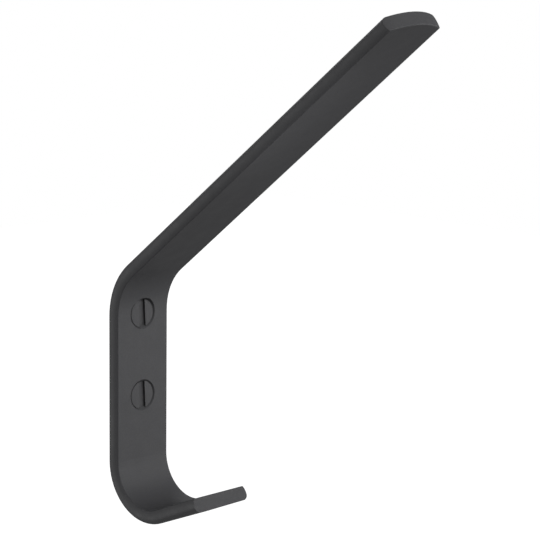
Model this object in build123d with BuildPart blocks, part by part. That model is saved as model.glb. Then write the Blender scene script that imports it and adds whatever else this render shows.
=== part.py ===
"""Hat and coat hook bent from one flat bar, with the two slotted countersunk screws that hold it.

Frame: the flat back of the upright plate lies in the plane Y = 0 and the hook stands out along -Y. X runs along the
bar's width and +Z is up. The origin is on the plate's back, midway between the two screws.
"""
from build123d import *
from math import cos, radians, tan
import os

# Bar: flat front face, domed sides, well rounded back corners, lightly broken ends
bar_width = 20.0
bar_thickness = 4.0
side_bulge = 0.7
front_edge_radius = 0.35
back_edge_radius = 1.6
end_edge_radius = 0.25

# Upright plate. The upper bend starts level with the upper screw.
screw_spacing = 24.0
plate_below_screws = 18.5

# Arm for the hat. The radius of each bend is that of the bar's front face.
upper_bend_radius = 16.0
arm_rise = 38.0
arm_length = 122.5
arm_end_radius = 21.0

# Lip for the coat
lower_bend_radius = 11.5
lip_rise = 23.5
lip_length = 17.5

# Screws. The length counts from the head's flat top, as for any countersunk screw. The neck inside the plate has the
# blank's diameter, and the threaded shank, drawn plain at the thread's outer diameter, starts at the plate's back.
screw_diameter = 4.0
neck_diameter = 3.5
screw_length = 10.0
screw_tip_chamfer = 0.6
head_land = 0.2
head_edge_radius = 0.08
slot_width = 2.2
slot_depth = 0.6
slot_lean = 3.0

# Countersunk holes, and how the screws sit in them
countersink_diameter = 9.2
countersink_angle = 90.0
hole_clearance = 0.25
seat_clearance = 0.02
head_sink = 0.25

# Sizes and planes that follow from those
screw_radius = screw_diameter / 2
neck_radius = neck_diameter / 2
screw_height = screw_spacing / 2
plate_bottom = -screw_height - plate_below_screws
front_face = Plane(origin=(0, -bar_thickness, 0), x_dir=(1, 0, 0), z_dir=(0, -1, 0))

# Route of the bar, along the middle of its front face
with BuildLine(Plane.YZ) as route:
    plate = Line((-bar_thickness, plate_bottom), (-bar_thickness, screw_height))
    upper_bend = JernArc(plate @ 1, plate % 1, upper_bend_radius, 90 - arm_rise)
    arm = Line(upper_bend @ 1, upper_bend @ 1 + (upper_bend % 1) * arm_length)
    lower_bend = JernArc(plate @ 0, (plate % 0) * -1, lower_bend_radius, -90 - lip_rise)
    lip = Line(lower_bend @ 1, lower_bend @ 1 + (lower_bend % 1) * lip_length)

arm_end = Plane(origin=arm @ 1, x_dir=(1, 0, 0), z_dir=Vector(1, 0, 0).cross(arm % 1))
lip_end = Plane(origin=lip @ 1, x_dir=(1, 0, 0), z_dir=(lip % 1) * -1)

with BuildPart() as hook:
    # Cross-section at the lip's end, drawn from the front face at y = 0 to the back
    with BuildSketch(lip_end) as section:
        with BuildLine():
            front = Line((0, 0), (bar_width / 2 - side_bulge, 0))
            side = TangentArc((bar_width / 2, bar_thickness - back_edge_radius), front @ 1, tangent=(0, -1))
            back_corner = TangentArc(side @ 0, (bar_width / 2 - back_edge_radius, bar_thickness), tangent=(0, 1))
            Line(back_corner @ 1, (0, bar_thickness))
            mirror(about=Plane.YZ)
        make_face()
        fillet(section.vertices().group_by(Axis.Y)[0], radius=front_edge_radius)
    sweep(path=route.wire())

    # Arm's end, cut to an arc across the width
    with BuildSketch(arm_end):
        Rectangle(2 * bar_width, bar_width)
        with Locations((0, -arm_end_radius)):
            Circle(arm_end_radius, mode=Mode.SUBTRACT)
    extrude(amount=2 * bar_thickness, both=True, mode=Mode.SUBTRACT)

    # Both ends broken all round
    arm_end_face = hook.faces().sort_by(Axis(arm @ 0, arm % 1))[-1]
    lip_end_face = hook.faces().sort_by(Axis(lip @ 0, lip % 1))[-1]
    fillet(arm_end_face.edges() + lip_end_face.edges(), radius=end_edge_radius)

    # Countersunk holes. The cutter's wide end clears the start of the upper bend too.
    with Locations(front_face):
        with GridLocations(0, screw_spacing, 1, 2):
            CounterSinkHole(
                radius=screw_radius + hole_clearance,
                counter_sink_radius=countersink_diameter / 2,
                counter_sink_angle=countersink_angle,
            )

# One screw along Z, with the bar's front face at z = 0. The head's cone runs parallel to its seat.
half_angle = radians(countersink_angle / 2)
cone_top_radius = countersink_diameter / 2 - seat_clearance / cos(half_angle)
land_depth = head_sink + head_land
head_radius = cone_top_radius - land_depth * tan(half_angle)
neck_depth = (cone_top_radius - neck_radius) / tan(half_angle)
tip_depth = head_sink + screw_length

with BuildPart() as screw:
    with BuildSketch(Plane.XZ):
        with BuildLine():
            Polyline(
                (0, -head_sink),
                (head_radius, -head_sink),
                (head_radius, -land_depth),
                (neck_radius, -neck_depth),
                (neck_radius, -bar_thickness),
                (screw_radius, -bar_thickness),
                (screw_radius, screw_tip_chamfer - tip_depth),
                (screw_radius - screw_tip_chamfer, -tip_depth),
                (0, -tip_depth),
                close=True,
            )
        make_face()
    revolve(axis=Axis.Z)
    with BuildSketch(Plane.XY.offset(-head_sink)):
        Rectangle(slot_width, countersink_diameter, rotation=slot_lean)
    extrude(amount=-slot_depth, mode=Mode.SUBTRACT)
    head_halves = screw.faces().filter_by(Plane.XY).group_by(Axis.Z)[-1]
    fillet(head_halves.edges(), radius=head_edge_radius)

with BuildPart() as screws:
    with Locations(front_face):
        with GridLocations(0, screw_spacing, 1, 2):
            add(screw.part)

hook.part.label = "hook"
screws.part.label = "screws"
os.makedirs("parts", exist_ok=True)
export_step(hook.part, "parts/hook.step")
export_step(screws.part, "parts/screws.step")
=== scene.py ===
"""Looks of the hat and coat hook: the coated bar, its two slotted screws with real threads, and the studio.

All lengths are in metres unless a name ends in _mm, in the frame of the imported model: X across the bar,
-Y out of the wall, Z up, and the origin on the plate's back midway between the screws.
"""
import math

import bmesh
import bpy
import numpy as np
from bpy.props import FloatProperty, FloatVectorProperty, IntProperty, PointerProperty, StringProperty
from bpy.types import Operator, Panel, PropertyGroup
from mathutils import Matrix, Vector


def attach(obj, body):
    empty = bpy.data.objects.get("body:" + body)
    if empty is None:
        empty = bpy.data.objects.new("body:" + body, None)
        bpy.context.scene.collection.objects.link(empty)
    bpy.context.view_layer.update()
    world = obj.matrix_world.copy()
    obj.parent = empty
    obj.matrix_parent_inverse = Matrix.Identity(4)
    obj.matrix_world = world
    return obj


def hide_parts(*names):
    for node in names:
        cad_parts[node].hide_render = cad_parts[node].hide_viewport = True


bl_info = {
    "name": "Hat hook",
    "version": (1, 0, 0),
    "blender": (4, 5, 0),
    "location": "3D view, sidebar, Hat hook",
    "description": "Coats the bent bar, cuts the screws' threads and lays out the studio",
    "category": "Object",
}

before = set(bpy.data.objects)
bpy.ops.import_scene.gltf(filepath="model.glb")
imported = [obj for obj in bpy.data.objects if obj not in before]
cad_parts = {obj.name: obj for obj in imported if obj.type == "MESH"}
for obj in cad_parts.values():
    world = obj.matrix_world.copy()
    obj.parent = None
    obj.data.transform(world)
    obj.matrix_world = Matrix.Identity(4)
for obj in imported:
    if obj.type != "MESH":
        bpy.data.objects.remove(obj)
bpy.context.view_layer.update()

MM = 0.001

# Noise values between which the coat goes from one grain colour to the other, and from smoother to rougher
GRAIN_SPAN = (0.35, 0.65)
FLOW_SPAN = (0.3, 0.7)
ROUGHNESS_WANDER = 0.03

# Openness of a spot at or below which the coat's colour is fully replaced by the painted seam shade, and at
# or above which it keeps its own colour
SHADE_FADE_SPAN = (0.62, 0.98)
OPENNESS_RAYS = 16

# Metric thread, in pitches: its depth, half the width of its crest and the width of one flank
THREAD_DEPTH = 0.6134
HALF_CREST = 1 / 16
FLANK_WIDTH = 5 / 16

# How near the plane of the plate's back a point of the screws counts as on it
PLATE_SLACK = 1e-6

# Each softbox, with its turn from straight in front towards +X and its rise, both in degrees
SOFTBOXES = (
    ("key", 12, 30),
    ("fill", -60, 32),
    ("left", -130, -10),
    ("right", 60, -10),
    ("back", 165, 45),
)

SENSOR_WIDTH_MM = 36
CLIP_START = 0.01


def linear(hex_colour):
    """Linear RGBA of an sRGB hex colour.

    A channel c from 0 to 1 becomes c / 12.92 up to 0.04045, and above it (c + 0.055) / 1.055 to the
    power 2.4.
    """
    channels = np.array([int(hex_colour[i:i + 2], 16) for i in (1, 3, 5)]) / 255
    low = channels <= 0.04045
    values = np.where(low, channels / 12.92, ((channels + 0.055) / 1.055) ** 2.4)
    return (*values.tolist(), 1.0)


def add_node(tree, kind, inputs=None, **settings):
    """Adds a node with its properties and inputs. A socket is linked, and anything else is a value."""
    node = tree.nodes.new(kind)
    for name, value in settings.items():
        setattr(node, name, value)
    for name, value in (inputs or {}).items():
        if isinstance(value, bpy.types.NodeSocket):
            tree.links.new(value, node.inputs[name])
        else:
            node.inputs[name].default_value = value
    return node


def new_material(name):
    """A node material of that name with an empty tree, and the tree."""
    material = bpy.data.materials.new(name)
    material.use_nodes = True
    material.node_tree.nodes.clear()
    return material, material.node_tree


def powder_coat(name, settings, thread=None):
    """Matt polyester powder coat, sprayed dry on steel and baked: grains that melted into one thick skin.

    The eye sees a soft, nearly flat black-grey with no mirror image, a faint fine grain from the matting
    agent, and over it the shallow long wave of the flowed skin, which only unsettles the broad
    highlights a little. Narrow seams and a slot's corners get painted shade: there the colour is
    darkened towards the seam colour, the more the nearer the walls.

    With a thread's settings, what stands behind the plate is blackened steel: dipped in hot black oxide
    and oiled, and masked while the heads were sprayed, so that a nut still runs on it. Its satin gloss
    draws each turn of the thread.
    """
    material, tree = new_material(name)
    place = add_node(tree, "ShaderNodeTexCoord").outputs["Object"]
    # The real grain is too fine to show in the render, so it is drawn about a pixel wide
    grain = add_node(tree, "ShaderNodeTexNoise", {
        "Vector": place,
        "Scale": 1 / settings.grain_width,
        "Detail": 2.0,
        "Roughness": 0.6,
    })
    flow = add_node(tree, "ShaderNodeTexNoise", {
        "Vector": place,
        "Scale": 1 / settings.flow_width,
        "Detail": 1.0,
    })
    tint = add_node(tree, "ShaderNodeMapRange", {
        "Value": grain.outputs["Fac"],
        "From Min": GRAIN_SPAN[0],
        "From Max": GRAIN_SPAN[1],
    })
    colour = add_node(tree, "ShaderNodeMix", {
        "Factor": tint.outputs["Result"],
        "A": linear(settings.dark_colour),
        "B": linear(settings.light_colour),
    }, data_type="RGBA")
    # Painted shade: ambient occlusion darkens the coat's colour towards the seam colour in narrow seams,
    # round each screw head and in the slot's corners
    openness = add_node(tree, "ShaderNodeAmbientOcclusion", {
        "Distance": settings.seam_shade_reach,
    }, samples=OPENNESS_RAYS)
    shade_fade = add_node(tree, "ShaderNodeMapRange", {
        "Value": openness.outputs["AO"],
        "From Min": SHADE_FADE_SPAN[0],
        "From Max": SHADE_FADE_SPAN[1],
    })
    seen_colour = add_node(tree, "ShaderNodeMix", {
        "Factor": shade_fade.outputs["Result"],
        "A": linear(settings.seam_shade_colour),
        "B": colour.outputs["Result"],
    }, data_type="RGBA").outputs["Result"]
    gloss = add_node(tree, "ShaderNodeMapRange", {
        "Value": flow.outputs["Fac"],
        "From Min": FLOW_SPAN[0],
        "From Max": FLOW_SPAN[1],
        "To Min": settings.roughness - ROUGHNESS_WANDER,
        "To Max": settings.roughness + ROUGHNESS_WANDER,
    }).outputs["Result"]
    if thread:
        depth = add_node(tree, "ShaderNodeSeparateXYZ", {"Vector": place}).outputs["Y"]
        behind = add_node(tree, "ShaderNodeMath", {
            0: depth,
            1: 0.0,
        }, operation="GREATER_THAN").outputs["Value"]
        seen_colour = add_node(tree, "ShaderNodeMix", {
            "Factor": behind,
            "A": seen_colour,
            "B": linear(thread.steel_colour),
        }, data_type="RGBA").outputs["Result"]
        gloss = add_node(tree, "ShaderNodeMapRange", {
            "Value": behind,
            "To Min": gloss,
            "To Max": thread.steel_roughness,
        }).outputs["Result"]
    long_wave = add_node(tree, "ShaderNodeBump", {
        "Height": flow.outputs["Fac"],
        "Strength": 1.0,
        "Distance": settings.flow_height,
    })
    relief = add_node(tree, "ShaderNodeBump", {
        "Height": grain.outputs["Fac"],
        "Strength": 1.0,
        "Distance": settings.grain_height,
        "Normal": long_wave.outputs["Normal"],
    })
    shader = add_node(tree, "ShaderNodeBsdfPrincipled", {
        "Base Color": seen_colour,
        "Roughness": gloss,
        "Normal": relief.outputs["Normal"],
        "IOR": 1.5,
        "Specular IOR Level": settings.specular_level,
    })
    add_node(tree, "ShaderNodeOutputMaterial", {"Surface": shader.outputs["BSDF"]})
    return material


def dress(thing, material):
    """Gives an object this material in every slot, and makes a slot first if there is none."""
    if not thing.material_slots:
        thing.data.materials.append(material)
    for slot in thing.material_slots:
        slot.material = material


def merged_copy(thing, decimals=7):
    """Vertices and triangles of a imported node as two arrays, without doubles.

    Points that are the same when rounded to that many decimals of a metre become one, and triangles that
    collapse to an edge are left out.
    """
    mesh = thing.data
    mesh.calc_loop_triangles()
    points = np.empty(len(mesh.vertices) * 3, np.float32)
    corners = np.empty(len(mesh.loop_triangles) * 3, np.int32)
    mesh.vertices.foreach_get("co", points)
    mesh.loop_triangles.foreach_get("vertices", corners)
    rounded = np.round(points.reshape(-1, 3).astype(float), decimals)
    unique, index = np.unique(rounded, axis=0, return_inverse=True)
    triangles = index.reshape(-1)[corners].reshape(-1, 3)
    whole = (triangles != np.roll(triangles, 1, axis=1)).all(axis=1)
    return unique, triangles[whole]


def mesh_of(name, points, faces):
    """A mesh object of that name from an array of points and a list of face arrays."""
    mesh = bpy.data.meshes.new(name)
    mesh.from_pydata(points.tolist(), [], [face for part in faces for face in part.tolist()])
    thing = bpy.data.objects.new(name, mesh)
    bpy.context.scene.collection.objects.link(thing)
    return thing


def tidy_mesh(mesh, merge=1e-7, crease=math.radians(32)):
    """Merges doubles, drops loose vertices, turns faces outwards and marks edges sharper than crease."""
    work = bmesh.new()
    work.from_mesh(mesh)
    bmesh.ops.remove_doubles(work, verts=work.verts, dist=merge)
    bmesh.ops.delete(work, geom=[v for v in work.verts if not v.link_faces], context="VERTS")
    bmesh.ops.recalc_face_normals(work, faces=work.faces)
    open_edges = sum(not e.is_manifold for e in work.edges)
    work.to_mesh(mesh)
    work.free()
    if open_edges:
        raise RuntimeError(f"{mesh.name} is left open at {open_edges} edges")
    mesh.shade_smooth()
    mesh.set_sharp_from_angle(angle=crease)


def thread_radius(along, turn, settings, neck_radius, stub_length):
    """Radius of the threaded stub at a distance along it and an angle round it.

    The distance from the crest, in pitches, is the fractional part of along / pitch - turn / full
    circle, folded to 0 to 0.5. From half the crest's width on, the radius falls by the thread's depth
    over the flank's width, and then stays at the root. It is also no more than a run-in, which grows
    from the neck's radius as fast as the stub gets longer, and than the cone of the tip's chamfer.
    """
    pitch = settings.pitch
    outer = settings.diameter / 2
    phase = np.mod(along / pitch - turn / (2 * np.pi), 1.0)
    from_crest = np.minimum(phase, 1 - phase)
    flank = np.clip((from_crest - HALF_CREST) / FLANK_WIDTH, 0, 1)
    threaded = outer - THREAD_DEPTH * pitch * flank
    run_in = neck_radius + along
    tip_cone = outer - settings.tip_chamfer + (stub_length - along)
    return np.minimum(threaded, np.minimum(run_in, tip_cone))


def in_order_round(points, centre_z):
    """Points sorted by their angle round a screw's axis, measured from +Z towards +X."""
    return points[np.argsort(np.arctan2(points[:, 0], points[:, 2] - centre_z))]


def threaded_stub(ring, centre_z, settings, stub_length):
    """Vertices, side quads and tip triangles of one stub: a tube of rings along +Y, closed by its flat tip.

    ring holds the neck's own vertices in order round the axis, so the tube's first ring lies on them. A
    point is (radius sin(turn), along, centre_z + radius cos(turn)), with turn measured from +Z towards
    +X and the radius that thread_radius gives.
    """
    neck_radius = np.hypot(ring[:, 0], ring[:, 2] - centre_z).mean()
    turn = np.arctan2(ring[:, 0], ring[:, 2] - centre_z)
    rows = int(math.ceil(stub_length / settings.pitch * settings.rows_per_pitch))
    along = np.linspace(0, stub_length, rows + 1)
    grid_along, grid_turn = np.meshgrid(along, turn, indexing="ij")
    radius = thread_radius(grid_along, grid_turn, settings, neck_radius, stub_length)
    across = radius * np.sin(grid_turn)
    height = centre_z + radius * np.cos(grid_turn)
    points = np.stack([across, grid_along, height], axis=-1)
    points[0] = ring
    count = len(turn)
    low = np.arange(rows * count).reshape(rows, count)
    low_next = np.roll(low, -1, axis=1)
    side = np.stack([low, low_next, low_next + count, low + count], axis=-1)
    points = np.concatenate([points.reshape(-1, 3), [[0.0, stub_length, centre_z]]])
    last = np.arange(rows * count, (rows + 1) * count)
    tip = np.stack([last, np.roll(last, -1), np.full(count, len(points) - 1)], axis=-1)
    return points, side.reshape(-1, 4), tip


def background_share(tree, settings):
    """How much of the white background a ray sees: all of it for the camera and through glass.

    A glossy ray sees only a small share. The object shows no bare metal or glass, and its matt coat
    would mirror the white at a flat angle, which the photograph doesn't show.
    """
    rays = add_node(tree, "ShaderNodeLightPath")
    clear = add_node(tree, "ShaderNodeMath", {
        0: rays.outputs["Is Camera Ray"],
        1: rays.outputs["Is Transmission Ray"],
    }, operation="MAXIMUM")
    gloss = add_node(tree, "ShaderNodeMath", {
        0: rays.outputs["Is Glossy Ray"],
        1: settings.glossy_share,
    }, operation="MULTIPLY")
    return add_node(tree, "ShaderNodeMath", {
        0: clear.outputs["Value"],
        1: gloss.outputs["Value"],
    }, operation="MAXIMUM").outputs["Value"]


def lay_floor(settings, half=6.0):
    """A square of pale floor well below the object, which glows white where it is the background."""
    points = np.array([[-half, -half, 0], [half, -half, 0], [half, half, 0], [-half, half, 0]], float)
    points[:, 2] = -settings.floor_drop
    floor = mesh_of("studio_floor", points, [np.array([[0, 1, 2, 3]])])
    material, tree = new_material("white_painted_board")
    paint = add_node(tree, "ShaderNodeBsdfDiffuse", {"Color": linear("#e6e6e6")})
    glow = add_node(tree, "ShaderNodeEmission", {
        "Color": (1, 1, 1, 1),
        "Strength": background_share(tree, settings),
    })
    both = add_node(tree, "ShaderNodeAddShader", {0: paint.outputs["BSDF"], 1: glow.outputs["Emission"]})
    add_node(tree, "ShaderNodeOutputMaterial", {"Surface": both.outputs["Shader"]})
    dress(floor, material)


def light_world(scene, settings):
    """Even light from all around, seen as plain white where it is the background."""
    world = bpy.data.worlds.new("studio_world")
    world.use_nodes = True
    tree = world.node_tree
    tree.nodes.clear()
    strength = add_node(tree, "ShaderNodeMapRange", {
        "Value": background_share(tree, settings),
        "To Min": settings.world_strength,
        "To Max": 1.0,
    })
    glow = add_node(tree, "ShaderNodeBackground", {
        "Color": (1, 1, 1, 1),
        "Strength": strength.outputs["Result"],
    })
    add_node(tree, "ShaderNodeOutputWorld", {"Surface": glow.outputs["Background"]})
    scene.world = world


def area_lamp(name, place, target, along, size, power):
    """A rectangular lamp at a place, facing a target, with its first side turned towards a direction."""
    lamp = bpy.data.lights.new(name, "AREA")
    lamp.shape = "RECTANGLE"
    lamp.size, lamp.size_y = size
    lamp.energy = power
    back = (Vector(place) - Vector(target)).normalized()
    side = back.cross(Vector(along)).normalized()
    facing = Matrix((side.cross(back), side, back)).transposed()
    thing = bpy.data.objects.new(name, lamp)
    thing.matrix_world = Matrix.Translation(Vector(place)) @ facing.to_4x4()
    thing.visible_camera = False
    bpy.context.scene.collection.objects.link(thing)


def softbox(name, turn, rise, power, distance=1.0, size=0.5, target=(0, -0.04, 0.03)):
    """A softbox round the object, turned from straight in front towards +X and raised, both in degrees."""
    turn = math.radians(turn)
    rise = math.radians(rise)
    direction = Vector((math.sin(turn) * math.cos(rise), -math.cos(turn) * math.cos(rise), math.sin(rise)))
    area_lamp(name, Vector(target) + direction * distance, target, (0, 0, 1), (size, size), power)


def arm_strip(power, aim=(-0.0085, -0.068, 0.0772), rise=math.radians(38), down=0.018, size=(0.05, 0.005)):
    """A small strip lamp under the middle of the arm, for a soft streak beside the arm's left edge."""
    along = Vector((0, -math.cos(rise), math.sin(rise)))
    below = Vector((0, -math.sin(rise), -math.cos(rise)))
    area_lamp("arm_strip", Vector(aim) + below * down, aim, along, size, power)


def set_camera(scene, settings):
    """Sets the camera: its line of sight is turned by yaw from +Y, tipped down by pitch and rolled about."""
    yaw = settings.camera_yaw
    pitch = settings.camera_pitch
    roll = settings.camera_roll
    ahead = Vector((math.sin(yaw) * math.cos(pitch), math.cos(yaw) * math.cos(pitch), -math.sin(pitch)))
    right = Vector((math.cos(yaw), -math.sin(yaw), 0))
    down = ahead.cross(right)
    turned_right = math.cos(roll) * right + math.sin(roll) * down
    turned_down = math.cos(roll) * down - math.sin(roll) * right
    turn = Matrix((turned_right, -turned_down, -ahead)).transposed()
    lens = bpy.data.cameras.new("camera")
    lens.sensor_width = SENSOR_WIDTH_MM
    lens.lens = settings.camera_lens
    lens.clip_start = CLIP_START
    camera = bpy.data.objects.new("camera", lens)
    camera.matrix_world = Matrix.Translation(Vector(settings.camera_place)) @ turn.to_4x4()
    scene.collection.objects.link(camera)
    scene.camera = camera


class HatHookCoat(PropertyGroup):
    """Powder coat of the bar and the screws."""

    dark_colour: StringProperty(
        name="Dark grain", description="sRGB hex colour of the coat's darker grain", default="#404042",
    )
    light_colour: StringProperty(
        name="Light grain", description="sRGB hex colour of the coat's lighter grain", default="#444446",
    )
    # Painted shade: the colour that narrow seams and slot corners are darkened towards
    seam_shade_colour: StringProperty(
        name="Seam", description="sRGB hex colour of the steel where hardly any powder lies",
        default="#363637",
    )
    # How far from a wall the painted seam shade reaches
    seam_shade_reach: FloatProperty(
        name="Seam reach", description="How far a wall keeps the powder away",
        default=1.2 * MM, unit="LENGTH", precision=5,
    )
    roughness: FloatProperty(
        name="Roughness", description="Roughness of the matt skin",
        default=0.6, min=0, max=1, subtype="FACTOR",
    )
    specular_level: FloatProperty(
        name="Specular level", description="Strength of the skin's surface reflection",
        default=0.3, min=0, max=1, subtype="FACTOR",
    )
    grain_width: FloatProperty(
        name="Grain width", description="Size of one grain, drawn about a pixel wide",
        default=0.35 * MM, unit="LENGTH", precision=5,
    )
    grain_height: FloatProperty(
        name="Grain height", description="Relief of the grain",
        default=0.0045 * MM, unit="LENGTH", precision=6,
    )
    flow_width: FloatProperty(
        name="Flow width", description="Length of the flowed skin's wave",
        default=4 * MM, unit="LENGTH", precision=5,
    )
    flow_height: FloatProperty(
        name="Flow height", description="Relief of that wave",
        default=0.005 * MM, unit="LENGTH", precision=6,
    )


class HatHookScrews(PropertyGroup):
    """Thread of the two screws."""

    steel_colour: StringProperty(
        name="Thread colour", description="sRGB hex colour of the blackened steel", default="#48494b",
    )
    steel_roughness: FloatProperty(
        name="Thread roughness", description="Roughness of the blackened steel",
        default=0.38, min=0, max=1, subtype="FACTOR",
    )
    diameter: FloatProperty(
        name="Thread diameter", description="Outer diameter of the thread",
        default=4 * MM, unit="LENGTH", precision=5,
    )
    pitch: FloatProperty(
        name="Pitch", description="Distance from one crest to the next",
        default=0.7 * MM, unit="LENGTH", precision=5,
    )
    tip_chamfer: FloatProperty(
        name="Tip chamfer", description="Chamfer at the end of the stub",
        default=0.6 * MM, unit="LENGTH", precision=5,
    )
    rows_per_pitch: IntProperty(
        name="Rows per pitch", description="Rings of the mesh in one pitch", default=12, min=6, max=32,
    )


class HatHookStudio(PropertyGroup):
    """Camera, lamps and floor."""

    camera_place: FloatVectorProperty(
        name="Camera place", description="Where the camera stands",
        default=(-0.39038, -0.44791, 0.13372), subtype="XYZ", unit="LENGTH",
    )
    camera_yaw: FloatProperty(
        name="Camera yaw", description="Turn from +Y towards +X",
        default=math.radians(44.847), subtype="ANGLE",
    )
    camera_pitch: FloatProperty(
        name="Camera pitch", description="How far the camera looks down",
        default=math.radians(10.433), subtype="ANGLE",
    )
    camera_roll: FloatProperty(
        name="Camera roll", description="Turn about the line of sight",
        default=math.radians(-0.71), subtype="ANGLE",
    )
    camera_lens: FloatProperty(
        name="Lens", description="Focal length in millimetres for a 36 mm sensor", default=140.25, min=1,
    )
    world_strength: FloatProperty(
        name="World strength", description="Light from all around", default=0.14, min=0,
    )
    glossy_share: FloatProperty(
        name="Glossy share", description="Share of the white background in reflections",
        default=0.08, min=0, max=1,
    )
    key_power: FloatProperty(
        name="Key power", description="Watts of the softbox above in front", default=7.1, min=0,
    )
    fill_power: FloatProperty(
        name="Fill power", description="Watts of the softbox above at the left", default=0.9, min=0,
    )
    left_power: FloatProperty(
        name="Left power", description="Watts of the low softbox at the left, a little behind",
        default=3.8, min=0,
    )
    right_power: FloatProperty(
        name="Right power", description="Watts of the low softbox at the right", default=3.6, min=0,
    )
    back_power: FloatProperty(
        name="Back power", description="Watts of the softbox high behind", default=4.5, min=0,
    )
    arm_power: FloatProperty(
        name="Arm power", description="Watts of the small strip lamp under the arm", default=0.0008, min=0,
    )
    floor_drop: FloatProperty(
        name="Floor drop", description="How far the floor lies below the origin",
        default=1.2, unit="LENGTH",
    )


class HATHOOK_OT_coat_bar(Operator):
    """Coat the bent bar"""

    bl_idname = "hathook.coat_bar"
    bl_label = "Coat the bar"

    def execute(self, context):
        dress(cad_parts["hook"], powder_coat("matt_powder_coat", context.scene.hathook_coat))
        return {"FINISHED"}


class HATHOOK_OT_make_screws(Operator):
    """Build the two slotted screws with their threads, in place of the plain ones"""

    bl_idname = "hathook.make_screws"
    bl_label = "Make the screws"

    def execute(self, context):
        settings = context.scene.hathook_screws
        points, triangles = merged_copy(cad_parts["screws"])
        stub_length = points[:, 1].max()
        on_plate = np.abs(points[:, 1]) < PLATE_SLACK
        behind = points[:, 1] > PLATE_SLACK
        # The heads and necks stay. The flat step at the plate's back and the plain shank behind it go.
        kept_triangles = triangles[~behind[triangles].any(axis=1) & ~on_plate[triangles].all(axis=1)]
        kept = np.zeros(len(points), bool)
        kept[kept_triangles.ravel()] = True
        upper_heights = points[points[:, 2] > 0, 2]
        screw_height = (upper_heights.max() + upper_heights.min()) / 2
        parts = [points]
        faces = [kept_triangles]
        start = len(points)
        for centre_z in (screw_height, -screw_height):
            same_screw = np.sign(points[:, 2]) == np.sign(centre_z)
            ring = in_order_round(points[on_plate & kept & same_screw], centre_z)
            stub, side, tip = threaded_stub(ring, centre_z, settings, stub_length)
            parts.append(stub)
            faces += [side + start, tip + start]
            start += len(stub)
        screws = mesh_of("threaded_screws", np.concatenate(parts), faces)
        tidy_mesh(screws.data)
        dress(screws, powder_coat("matt_powder_coat_on_screws", context.scene.hathook_coat, settings))
        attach(screws, "root")
        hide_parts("screws")
        return {"FINISHED"}


class HATHOOK_OT_lay_studio(Operator):
    """Lay the floor, light the object and set the camera at the photograph's angle"""

    bl_idname = "hathook.lay_studio"
    bl_label = "Lay out the studio"

    def execute(self, context):
        settings = context.scene.hathook_studio
        lay_floor(settings)
        light_world(context.scene, settings)
        for name, turn, rise in SOFTBOXES:
            softbox(f"{name}_softbox", turn, rise, getattr(settings, f"{name}_power"))
        arm_strip(settings.arm_power)
        set_camera(context.scene, settings)
        context.scene.view_settings.view_transform = "Standard"
        return {"FINISHED"}


class HATHOOK_PT_panel(Panel):
    """Sizes and colours of the hook, with a button for each step"""

    bl_idname = "HATHOOK_PT_panel"
    bl_label = "Hat hook"
    bl_space_type = "VIEW_3D"
    bl_region_type = "UI"
    bl_category = "Hat hook"

    def draw(self, context):
        for group_name, operator in STEPS:
            box = self.layout.box()
            group = getattr(context.scene, group_name)
            for field in group.bl_rna.properties.keys():
                if field not in ("rna_type", "name"):
                    box.prop(group, field)
            box.operator(operator)


STEPS = (
    ("hathook_coat", "hathook.coat_bar"),
    ("hathook_screws", "hathook.make_screws"),
    ("hathook_studio", "hathook.lay_studio"),
)
CLASSES = (
    HatHookCoat,
    HatHookScrews,
    HatHookStudio,
    HATHOOK_OT_coat_bar,
    HATHOOK_OT_make_screws,
    HATHOOK_OT_lay_studio,
    HATHOOK_PT_panel,
)


def register():
    """Registers the classes and gives the scene its three groups of settings."""
    for kind in CLASSES:
        bpy.utils.register_class(kind)
    bpy.types.Scene.hathook_coat = PointerProperty(type=HatHookCoat)
    bpy.types.Scene.hathook_screws = PointerProperty(type=HatHookScrews)
    bpy.types.Scene.hathook_studio = PointerProperty(type=HatHookStudio)


def unregister():
    """Takes back what register added, in the opposite order."""
    del bpy.types.Scene.hathook_studio
    del bpy.types.Scene.hathook_screws
    del bpy.types.Scene.hathook_coat
    for kind in reversed(CLASSES):
        bpy.utils.unregister_class(kind)


def main():
    register()
    bpy.ops.hathook.coat_bar()
    bpy.ops.hathook.make_screws()
    bpy.ops.hathook.lay_studio()


if __name__ == "__main__":
    main()
